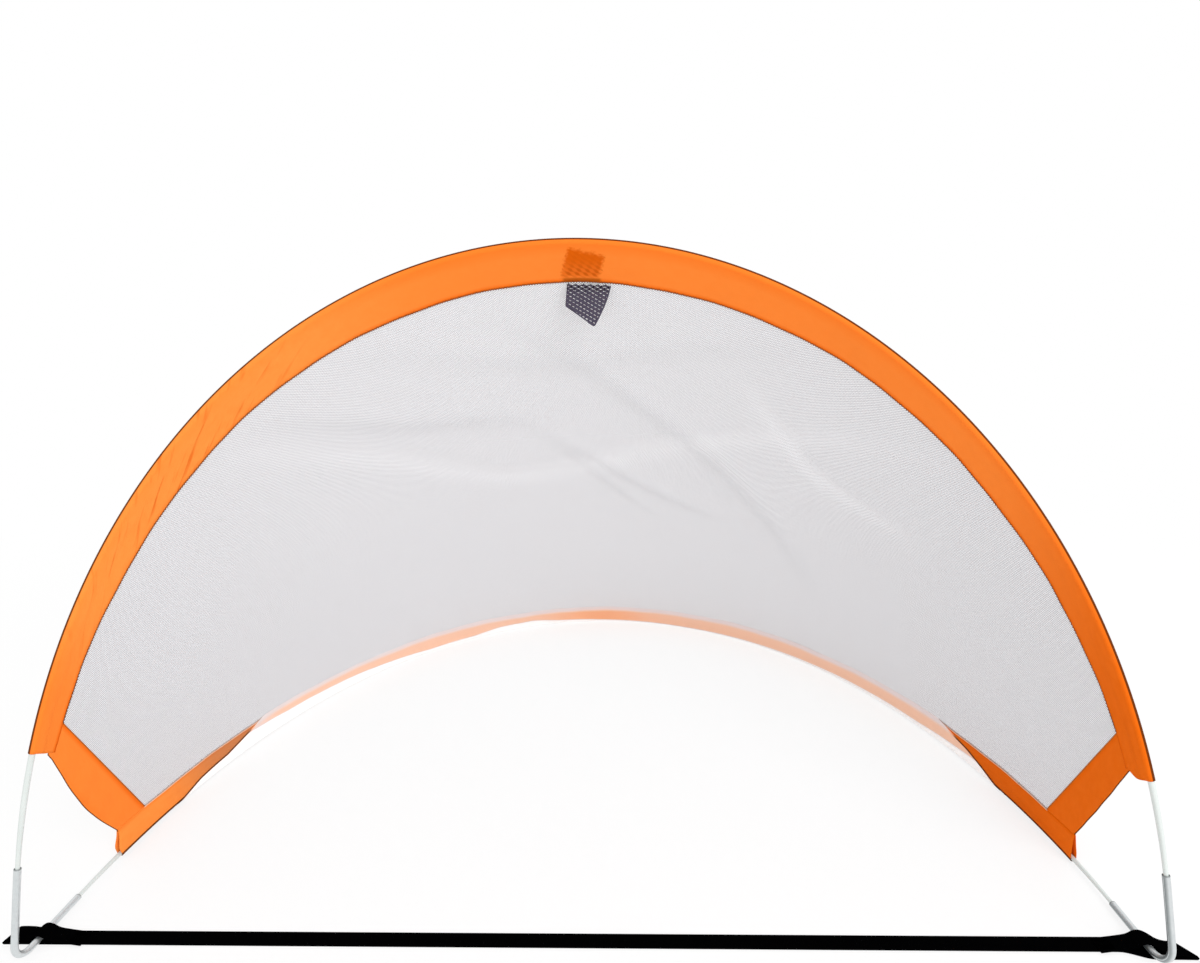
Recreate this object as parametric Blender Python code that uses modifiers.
"""A folding soccer goal: two sprung rod hoops, joined at the feet by bent metal tubes and a ground strap.

A fabric skirt runs from hoop to hoop: a sleeve sewn round each rod, a band down each open side, and the
net held between them. A mesh pull tab hangs from the crown.

Metres, +Z up. X runs along the goal line, and +Y goes into the goal. The origin is on the ground, in the
middle of the ground strap's underside.
"""

import bisect
import math

import bmesh
import bpy
from mathutils import Matrix, Vector

# Hoops: two equal half ellipses that share their feet
HOOP_HALF_WIDTH = 0.600
HOOP_REACH = 0.748
HOOP_ANGLE = math.radians(74.3)
ROD_DIAMETER = 0.006
FRONT_LEFT_BARE_ROD = 0.146
FRONT_RIGHT_BARE_ROD = 0.130
REAR_BARE_ROD = 0.066

# Elbows: the bent metal tubes that hold the rods' ends
ELBOW_LEG = 0.090
# How far the front leg goes on past its straight part, with the rod's first curve
ELBOW_FRONT_REACH = 0.018
ELBOW_WALL = 0.0014
ELBOW_BEND_RADIUS = 0.015
ROD_SEAT = 0.035

# Ground strap and the loops at its ends
STRAP_WIDTH = 0.020
STRAP_THICKNESS = 0.0014
STRAP_SETBACK = 0.038
LOOP_REACH = 0.030
LOOP_TAIL = 0.050
LOOP_FOLD_RADIUS = 0.0015
LOOP_RISE_START = 0.0275
# Where the webbing stands beside the elbow: how far out, in radii of elbow plus webbing, and how high
LOOP_SHOULDERS = ((2.2, 0.34), (1.0, 0.86))
THREAD_DIAMETER = 0.0009
TACK_LENGTH = 0.014
TACK_TURNS = 7

# Fabric skirt
FABRIC_THICKNESS = 0.0007
NET_THICKNESS = 0.0006
BAND_WIDTH = 0.051
BAND_END_WIDTH = 0.041
SIDE_BAND_WIDTH = 0.038
LEFT_BAND_BULGE = 0.009
RIGHT_BAND_BULGE = 0.001
SIDE_BAND_DROP = 0.012
SIDE_FOLD_EDGE = 0.25
NET_SEAM = 0.010
NET_SAG = 0.010
NET_WRINKLE = 0.003
# The net's soft folds: waves from end to end, how far they slant on the way down, and share of the height
NET_FOLDS = ((13, 5, 0.6), (29, -4, 0.4))
# The side seams hold the net flat only near them: the higher, the sooner it sags and folds
NET_FREE_RATE = 6

# Pull tab
TAB_WIDTH = 0.049
TAB_OFFSET = 0.021
TAB_SHORT_SIDE = 0.026
TAB_LONG_SIDE = 0.047
TAB_TAPER = 0.013
TAB_STRAND = 0.0012
TAB_COLUMNS = 5
TAB_ROWS = 9

# Clearances
FIT_GAP = 0.0003
TAB_HANG_GAP = 0.0008

# Facets
BARE_ROD_STEPS = 4
ELBOW_BEND_STEPS = 8
LOOP_FOLD_STEPS = 4
SKIRT_CELLS = 38
RING_STEPS = 9
NET_ROWS = 13
SIDE_BAND_ROWS = 9

ROD_RADIUS = ROD_DIAMETER / 2
ELBOW_RADIUS = ROD_RADIUS + FIT_GAP + ELBOW_WALL
SLEEVE_RING_RADIUS = ROD_RADIUS + FIT_GAP + FABRIC_THICKNESS / 2
SLEEVE_OUTER_RADIUS = SLEEVE_RING_RADIUS + FABRIC_THICKNESS / 2
LAYER_OFFSET = NET_THICKNESS / 2 + FIT_GAP + FABRIC_THICKNESS / 2

# The elbow lies on the strap, and the rear sleeve's crown lies on the ground
CORNER_HEIGHT = STRAP_THICKNESS + FIT_GAP + ELBOW_RADIUS
CORNER_Y = -STRAP_SETBACK
REAR_DROP = math.asin((CORNER_HEIGHT - SLEEVE_OUTER_RADIUS) / HOOP_REACH)

X = Vector((1, 0, 0))
CORNER_CENTRE = Vector((0, CORNER_Y, CORNER_HEIGHT))
REAR_WAY = Vector((0, math.cos(REAR_DROP), -math.sin(REAR_DROP)))
FRONT_WAY = Vector((0, math.cos(HOOP_ANGLE - REAR_DROP), math.sin(HOOP_ANGLE - REAR_DROP)))


def solve(rises, low, high):
    """The value between low and high where a rising function passes zero."""
    for _ in range(60):
        middle = (low + high) / 2
        if rises(middle) < 0:
            low = middle
        else:
            high = middle
    return (low + high) / 2


def speed(angle):
    """Arc length of a hoop for each radian of its angle."""
    return math.hypot(HOOP_HALF_WIDTH * math.sin(angle), HOOP_REACH * math.cos(angle))


def arc_length(start, end, steps=200):
    step = (end - start) / steps
    return sum(speed(start + (i + 0.5) * step) for i in range(steps)) * step


def angle_after(start, length):
    """The hoop angle that lies this arc length beyond start."""
    return solve(lambda angle: arc_length(start, angle) - length, start, math.pi / 2)


# A hoop's ends run straight inside the elbow's straight legs, which meet at the corner
LEG_ANGLE = solve(lambda angle: speed(angle) * math.tan(angle) - ELBOW_LEG, 0.0, 1.0)
FRONT_LEFT_START = angle_after(LEG_ANGLE, FRONT_LEFT_BARE_ROD)
FRONT_RIGHT_START = angle_after(LEG_ANGLE, FRONT_RIGHT_BARE_ROD)
REAR_START = angle_after(LEG_ANGLE, REAR_BARE_ROD)
# The hoop angles where a sleeve starts, counted from the left foot and from the right foot
FRONT_SLEEVE = (FRONT_LEFT_START, FRONT_RIGHT_START)
REAR_SLEEVE = (REAR_START, REAR_START)


def hoop_point(way, angle):
    """A point on a rod's axis. Angle 0 is the right foot, and 90 degrees the crown."""
    across = HOOP_HALF_WIDTH * math.cos(angle)
    return CORNER_CENTRE + X * across + way * (HOOP_REACH * math.sin(angle))


def leg_way(way, side):
    """The direction of an elbow's straight leg, away from the corner. side is -1 on the left."""
    inward = HOOP_HALF_WIDTH * math.sin(LEG_ANGLE)
    along = HOOP_REACH * math.cos(LEG_ANGLE)
    return (way * along - X * (side * inward)).normalized()


def leg_end(way, side):
    angle = LEG_ANGLE if side > 0 else math.pi - LEG_ANGLE
    return hoop_point(way, angle)


def corner(side):
    return leg_end(REAR_WAY, side) - leg_way(REAR_WAY, side) * ELBOW_LEG


def bare_rod_angles(sleeve_start):
    """Hoop angles of the bare rod's facet edges, from the straight leg's end up to the sleeve."""
    step = (sleeve_start - LEG_ANGLE) / BARE_ROD_STEPS
    return [LEG_ANGLE + step * i for i in range(BARE_ROD_STEPS)]


def front_mouth(side):
    """Where the front rod leaves the elbow: beyond the straight leg, along the rod's first facet."""
    start = FRONT_RIGHT_START if side > 0 else FRONT_LEFT_START
    angle = bare_rod_angles(start)[1]
    facet_end = hoop_point(FRONT_WAY, angle if side > 0 else math.pi - angle)
    straight_end = leg_end(FRONT_WAY, side)
    return straight_end + (facet_end - straight_end).normalized() * ELBOW_FRONT_REACH


# The skirt is a ruled surface: place s goes from the left end of the sleeves (0) to the right end (1)
SKIRT_LENGTH = arc_length(FRONT_RIGHT_START, math.pi - FRONT_LEFT_START)
NET_EDGE = (SIDE_BAND_WIDTH + SIDE_BAND_DROP) / SKIRT_LENGTH
NET_START = NET_EDGE - NET_SEAM / SKIRT_LENGTH


def sleeve_angle(sleeve, s):
    left_start, right_start = sleeve
    return (math.pi - left_start) * (1 - s) + right_start * s


def skirt_stations():
    """Places along the skirt where every piece of it has a facet edge, so that the pieces lie parallel."""
    inner = [NET_EDGE + (1 - 2 * NET_EDGE) * i / SKIRT_CELLS for i in range(SKIRT_CELLS + 1)]
    left = [0.0, NET_START / 2, NET_START]
    return left + inner + [1 - s for s in reversed(left)]


STATIONS = skirt_stations()


def between_stations(exact, s):
    """A quantity that is exact at the stations and straight between them."""
    place = min(max(bisect.bisect_right(STATIONS, s) - 1, 0), len(STATIONS) - 2)
    low, high = STATIONS[place], STATIONS[place + 1]
    share = (s - low) / (high - low)
    return exact(low) * (1 - share) + exact(high) * share


def front_edge(s):
    return between_stations(lambda at: hoop_point(FRONT_WAY, sleeve_angle(FRONT_SLEEVE, at)), s)


def rear_edge(s):
    return between_stations(lambda at: hoop_point(REAR_WAY, sleeve_angle(REAR_SLEEVE, at)), s)


def ruling_length(s):
    return (rear_edge(s) - front_edge(s)).length


def band_width(s):
    """Width of a sleeve's flat band, which narrows towards the sleeve's ends."""
    return between_stations(
        lambda at: BAND_END_WIDTH + (BAND_WIDTH - BAND_END_WIDTH) * math.sin(math.pi * at), s
    )


def skirt_normal(s, exact_step=1e-3):
    """The skirt's outward normal, averaged where two facets meet."""
    low = max(s - exact_step, 0.0)
    high = min(s + exact_step, 1.0)
    along = (front_edge(high) - front_edge(low)).normalized()
    down = (rear_edge(s) - front_edge(s)).normalized()
    return along.cross(down).normalized()


def station_normal(s):
    return between_stations(skirt_normal, s).normalized()


def skirt_point(s, distance, offset=0.0):
    """A point on the skirt: this far from the front rod's axis along the ruling, and this far outside it."""
    down = (rear_edge(s) - front_edge(s)).normalized()
    return front_edge(s) + down * distance + station_normal(s) * offset


def new_collection(name):
    collection = bpy.data.collections.new(name)
    bpy.context.scene.collection.children.link(collection)
    return collection


def material(name, colour, roughness, metallic=0.0):
    made = bpy.data.materials.new(name)
    made.use_nodes = True
    shader = made.node_tree.nodes["Principled BSDF"]
    shader.inputs["Base Color"].default_value = (*colour, 1.0)
    shader.inputs["Roughness"].default_value = roughness
    shader.inputs["Metallic"].default_value = metallic
    made.diffuse_color = (*colour, 1.0)
    return made


def tube(name, points, radius, finish, sides_step=2, capped=True):
    """A round rod or thread along a chain of points."""
    curve = bpy.data.curves.new(name, "CURVE")
    curve.dimensions = "3D"
    curve.bevel_depth = radius
    curve.bevel_resolution = sides_step
    curve.use_fill_caps = capped
    spline = curve.splines.new("POLY")
    spline.points.add(len(points) - 1)
    for spot, point in zip(spline.points, points):
        spot.co = (*point, 1.0)
    curve.materials.append(finish)
    made = bpy.data.objects.new(name, curve)
    PARTS.objects.link(made)
    return made


def as_mesh(source):
    """Replaces a curve object by a mesh object of the same name and place."""
    graph = bpy.context.evaluated_depsgraph_get()
    mesh = bpy.data.meshes.new_from_object(source.evaluated_get(graph))
    work = bmesh.new()
    work.from_mesh(mesh)
    bmesh.ops.remove_doubles(work, verts=work.verts, dist=1e-6)
    work.to_mesh(mesh)
    work.free()
    name = source.name
    place = source.matrix_world.copy()
    bpy.data.objects.remove(source)
    made = bpy.data.objects.new(name, mesh)
    made.matrix_world = place
    PARTS.objects.link(made)
    return made


def sheet(name, rows, thickness, finish):
    """Cloth or webbing: an open surface through rows of points, given its thickness by Solidify."""
    mesh = bpy.data.meshes.new(name)
    work = bmesh.new()
    grid = [[work.verts.new(point) for point in row] for row in rows]
    for row, beyond in zip(grid, grid[1:]):
        for i in range(len(row) - 1):
            work.faces.new((row[i], row[i + 1], beyond[i + 1], beyond[i]))
    bmesh.ops.recalc_face_normals(work, faces=work.faces)
    work.to_mesh(mesh)
    work.free()
    mesh.materials.append(finish)
    made = bpy.data.objects.new(name, mesh)
    PARTS.objects.link(made)
    solidify = made.modifiers.new("thickness", "SOLIDIFY")
    solidify.thickness = thickness
    solidify.offset = 0.0
    solidify.use_even_offset = True
    return made


def shade_round(made, sharp_angle=math.radians(40)):
    made.data.shade_smooth()
    made.data.set_sharp_from_angle(angle=sharp_angle)


def make_rod(name, way, sleeve, finish):
    """One hoop's rod, straight where it sits in the elbows, with a facet edge at each skirt station."""
    left_start, right_start = sleeve
    angles = [math.pi - angle for angle in bare_rod_angles(left_start)]
    angles += [sleeve_angle(sleeve, s) for s in STATIONS]
    angles += reversed(bare_rod_angles(right_start))
    ends = [leg_end(way, side) - leg_way(way, side) * ROD_SEAT for side in (-1, 1)]
    points = [ends[0]] + [hoop_point(way, angle) for angle in angles] + [ends[1]]
    return tube(name, points, ROD_RADIUS, finish)


def make_elbow(name, side, finish):
    """A metal tube bent once: its front leg takes the front rod, and its rear leg the rear rod."""
    front = leg_way(FRONT_WAY, side)
    rear = leg_way(REAR_WAY, side)
    half = front.angle(rear) / 2
    inward = (front + rear).normalized()
    centre = corner(side) + inward * (ELBOW_BEND_RADIUS / math.sin(half))
    hinge = rear.cross(front).normalized()
    spoke = (front * (ELBOW_BEND_RADIUS / math.tan(half)) + corner(side)) - centre
    turn = math.pi - 2 * half
    points = [front_mouth(side), leg_end(FRONT_WAY, side)]
    for i in range(ELBOW_BEND_STEPS + 1):
        points.append(centre + Matrix.Rotation(turn * i / ELBOW_BEND_STEPS, 3, hinge) @ spoke)
    points.append(leg_end(REAR_WAY, side))
    made = as_mesh(tube(name, points, ELBOW_RADIUS, finish, sides_step=4, capped=False))
    wall = made.modifiers.new("wall", "SOLIDIFY")
    wall.thickness = ELBOW_WALL
    wall.offset = -1.0
    wall.use_even_offset = True
    shade_round(made)
    return made


def smooth_chain(points, steps):
    """Points on a Catmull-Rom curve through the given ones."""
    chain = [2 * points[0] - points[1], *points, 2 * points[-1] - points[-2]]
    made = []
    for a, b, c, d in zip(chain, chain[1:], chain[2:], chain[3:]):
        for i in range(steps):
            t = i / steps
            made.append(
                0.5 * (2 * b + (c - a) * t + (2 * a - 5 * b + 4 * c - d) * t**2 + (3 * b - a - 3 * c + d) * t**3)
            )
    return made + [points[-1]]


def leg_offset(y):
    """How far outside its place at y = 0 the rear leg runs at this y, on the right."""
    way = leg_way(REAR_WAY, 1)
    return way.x / way.y * y


def loop_chain():
    """The right loop's webbing, seen along the goal: from its sewn end, over the elbow, to the lower layer."""
    way = leg_way(REAR_WAY, 1)
    leg_x = corner(1).x - way.x / way.y * CORNER_Y
    lower = STRAP_THICKNESS / 2
    upper = lower + STRAP_THICKNESS + FIT_GAP
    over = CORNER_HEIGHT + ELBOW_RADIUS + FIT_GAP + STRAP_THICKNESS / 2
    beside = ELBOW_RADIUS + STRAP_THICKNESS
    fold_top = lower + 2 * LOOP_FOLD_RADIUS
    fold_x = leg_x + LOOP_REACH - LOOP_FOLD_RADIUS
    hump = [Vector((leg_x - LOOP_RISE_START, 0, upper))]
    for radii, share in LOOP_SHOULDERS:
        hump.append(Vector((leg_x - beside * radii, 0, upper + (over - upper) * share)))
    hump.append(Vector((leg_x, 0, over + FIT_GAP)))
    for radii, share in reversed(LOOP_SHOULDERS):
        hump.append(Vector((leg_x + beside * radii, 0, fold_top + (over - fold_top) * share)))
    hump.append(Vector((fold_x, 0, fold_top)))
    fold = []
    for i in range(1, LOOP_FOLD_STEPS + 1):
        angle = math.pi / 2 - math.pi * i / LOOP_FOLD_STEPS
        across = LOOP_FOLD_RADIUS * math.cos(angle)
        height = lower + LOOP_FOLD_RADIUS * (1 + math.sin(angle))
        fold.append(Vector((fold_x + across, 0, height)))
    inner = Vector((leg_x - LOOP_TAIL, 0, lower))
    return [Vector((leg_x - LOOP_TAIL, 0, upper))] + smooth_chain(hump, 3) + fold + [inner]


def make_strap(name, finish):
    """One length of webbing, flat on the ground, with each end looped round an elbow and sewn down on it."""
    chain = loop_chain()
    rows = []
    for side, points in ((-1, chain), (1, chain[::-1])):
        for point in points:
            row = []
            for y in (-STRAP_WIDTH / 2, STRAP_WIDTH / 2):
                row.append(Vector((side * (point.x + leg_offset(y)), y, point.z)))
            rows.append(row)
    return sheet(name, rows, STRAP_THICKNESS, finish)


def make_tack(name, side, finish):
    """The zigzag stitching that holds a loop closed, standing on the webbing's upper layer."""
    start = loop_chain()[0]
    height = start.z + STRAP_THICKNESS / 2 + FIT_GAP + THREAD_DIAMETER / 2
    reach = STRAP_WIDTH / 2 - 3 * THREAD_DIAMETER
    points = []
    for i in range(2 * TACK_TURNS + 1):
        x = start.x + 2 * THREAD_DIAMETER + TACK_LENGTH * i / (2 * TACK_TURNS)
        y = reach if i % 2 else -reach
        points.append(Vector((side * x, y, height)))
    return tube(name, points, THREAD_DIAMETER / 2, finish, sides_step=1)


def make_sleeve(name, way_sign, finish):
    """Fabric folded round a rod, its two layers running on as a flat band towards the net."""
    edge = front_edge if way_sign > 0 else rear_edge
    rows = []
    for i, s in enumerate(STATIONS):
        before = edge(STATIONS[max(i - 1, 0)])
        beyond = edge(STATIONS[min(i + 1, len(STATIONS) - 1)])
        along = (beyond - before).normalized()
        down = (rear_edge(s) - front_edge(s)).normalized() * way_sign
        normal = along.cross(down).normalized()
        square = normal.cross(along).normalized()
        width = band_width(s)
        middle = (SLEEVE_OUTER_RADIUS + width) / 2
        start = math.asin(LAYER_OFFSET / SLEEVE_RING_RADIUS)
        row = []
        for reach in (width, middle):
            row.append(edge(s) + down * reach + normal * LAYER_OFFSET)
        for step in range(RING_STEPS + 1):
            angle = start + (2 * math.pi - 2 * start) * step / RING_STEPS
            spoke = square * math.cos(angle) + normal * math.sin(angle)
            row.append(edge(s) + spoke * SLEEVE_RING_RADIUS)
        for reach in (middle, width):
            row.append(edge(s) + down * reach - normal * LAYER_OFFSET)
        rows.append(row)
    return sheet(name, rows, FABRIC_THICKNESS, finish)


def make_side_band(name, side, bulge, finish):
    """A folded strip between the two sleeves. The net's edge goes in between its two layers."""
    rows = []
    for i in range(SIDE_BAND_ROWS + 1):
        share = i / SIDE_BAND_ROWS
        low = (SIDE_BAND_DROP - bulge * math.sin(math.pi * share)) / SKIRT_LENGTH
        fold_in = LAYER_OFFSET / SKIRT_LENGTH
        middle = (low + NET_START) / 2
        outside = [(NET_EDGE, 1), (NET_START, 1), (middle, 1), (low + fold_in, 1), (low, SIDE_FOLD_EDGE)]
        profile = outside + [(s, -layer) for s, layer in reversed(outside)]
        row = []
        for s, layer in profile:
            s = s if side < 0 else 1 - s
            start = band_width(s) + FIT_GAP
            end = ruling_length(s) - band_width(s) - FIT_GAP
            row.append(skirt_point(s, start + (end - start) * share, layer * LAYER_OFFSET))
        rows.append(row)
    return sheet(name, rows, FABRIC_THICKNESS, finish)


def net_rise(s, share):
    """How far the net stands outside its straight rulings: it sags a little and holds a few soft folds."""
    inside = max(0.0, (s - NET_EDGE) * (1 - NET_EDGE - s)) * 4
    free = min(1.0, inside * NET_FREE_RATE) * math.sin(math.pi * share)
    fold = sum(part * math.sin(waves * s + slant * share) for waves, slant, part in NET_FOLDS)
    return free * (fold * NET_WRINKLE - NET_SAG * inside)


def make_net(name, finish):
    rows = []
    for s in STATIONS[2:-2]:
        start = band_width(s) - NET_SEAM
        end = ruling_length(s) - band_width(s) + NET_SEAM
        seam_share = NET_SEAM / (end - start)
        row = [skirt_point(s, start)]
        for i in range(NET_ROWS):
            share = seam_share + (1 - 2 * seam_share) * i / (NET_ROWS - 1)
            rise = net_rise(s, i / (NET_ROWS - 1))
            row.append(skirt_point(s, start + (end - start) * share, rise))
        row.append(skirt_point(s, end))
        rows.append(row)
    return sheet(name, rows, NET_THICKNESS, finish)


TAB_LEFT = 0.5 + (TAB_OFFSET - TAB_WIDTH / 2) / SKIRT_LENGTH
TAB_RIGHT = 0.5 + (TAB_OFFSET + TAB_WIDTH / 2) / SKIRT_LENGTH


def make_tab_root(name, finish):
    """The tab's upper half, sewn in between the sleeve's two layers above the net's edge."""
    places = [TAB_LEFT] + [s for s in STATIONS if TAB_LEFT < s < TAB_RIGHT] + [TAB_RIGHT]
    rows = []
    for s in places:
        start = SLEEVE_OUTER_RADIUS + 2 * FIT_GAP
        end = band_width(s) - NET_SEAM - FIT_GAP
        rows.append([skirt_point(s, start + (end - start) * share) for share in (0.0, 0.5, 1.0)])
    return sheet(name, rows, NET_THICKNESS, finish)


def tab_hinge():
    """The line where the tab leaves the sleeve, as its left and right ends."""
    ends = []
    for s in (TAB_LEFT, TAB_RIGHT):
        down = band_width(s) + TAB_HANG_GAP
        ends.append(skirt_point(s, down, -(LAYER_OFFSET + TAB_STRAND / 2)))
    return ends


def make_pull_tab(name, finish):
    """The tab's hanging half: an open mesh whose free corner is longer on the right."""
    left, right = tab_hinge()
    origin = (left + right) / 2
    across = right - left
    mesh = bpy.data.meshes.new(name)
    work = bmesh.new()
    grid = []
    for i in range(TAB_ROWS + 1):
        fall = i / TAB_ROWS
        row = []
        for j in range(TAB_COLUMNS + 1):
            share = j / TAB_COLUMNS
            length = TAB_SHORT_SIDE + (TAB_LONG_SIDE - TAB_SHORT_SIDE) * share
            inset = TAB_TAPER / TAB_WIDTH * fall * share
            drop = TAB_STRAND / 2 + (length - TAB_STRAND) * fall
            place = left + across * (share - inset) - Vector((0, 0, drop))
            row.append(work.verts.new(place - origin))
        grid.append(row)
    for row, beyond in zip(grid, grid[1:]):
        for j in range(TAB_COLUMNS):
            work.faces.new((row[j], row[j + 1], beyond[j + 1], beyond[j]))
    work.to_mesh(mesh)
    work.free()
    mesh.materials.append(finish)
    made = bpy.data.objects.new(name, mesh)
    made.location = origin
    PARTS.objects.link(made)
    strands = made.modifiers.new("strands", "WIREFRAME")
    strands.thickness = TAB_STRAND
    strands.use_boundary = True
    strands.use_even_offset = True
    strands.use_replace = True
    return made


def clear_scene():
    for old in list(bpy.data.objects):
        bpy.data.objects.remove(old)


clear_scene()
PARTS = new_collection("folding_soccer_goal")

WHITE_ROD = material("white_fibreglass", (0.80, 0.82, 0.81), 0.35)
STEEL = material("zinc_plated_steel", (0.62, 0.64, 0.65), 0.35, metallic=0.9)
WEBBING = material("black_webbing", (0.012, 0.012, 0.013), 0.8)
THREAD = material("black_thread", (0.02, 0.02, 0.022), 0.7)
ORANGE = material("orange_polyester", (1.0, 0.22, 0.02), 0.6)
NET = material("white_fine_net", (0.72, 0.72, 0.74), 0.7)
TAB = material("black_open_mesh", (0.03, 0.03, 0.04), 0.6)

make_rod("front_rod", FRONT_WAY, FRONT_SLEEVE, WHITE_ROD)
make_rod("rear_rod", REAR_WAY, REAR_SLEEVE, WHITE_ROD)
make_elbow("left_elbow", -1, STEEL)
make_elbow("right_elbow", 1, STEEL)
make_strap("ground_strap", WEBBING)
make_tack("left_strap_stitching", -1, THREAD)
make_tack("right_strap_stitching", 1, THREAD)
make_sleeve("front_sleeve", 1, ORANGE)
make_sleeve("rear_sleeve", -1, ORANGE)
make_side_band("left_side_band", -1, LEFT_BAND_BULGE, ORANGE)
make_side_band("right_side_band", 1, RIGHT_BAND_BULGE, ORANGE)
make_net("net_panel", NET)
make_tab_root("pull_tab_root", TAB)
make_pull_tab("pull_tab", TAB)

print("elbow mouth, front left", [round(v, 5) for v in front_mouth(-1)])
print("elbow mouth, front right", [round(v, 5) for v in front_mouth(1)])
print("elbow mouth, rear right", [round(v, 5) for v in leg_end(REAR_WAY, 1)])
print("corner right", [round(v, 5) for v in corner(1)])
print("tab hinge", [[round(v, 5) for v in end] for end in tab_hinge()])
print("front crown", [round(v, 5) for v in hoop_point(FRONT_WAY, math.pi / 2)])
print("rear crown", [round(v, 5) for v in hoop_point(REAR_WAY, math.pi / 2)])
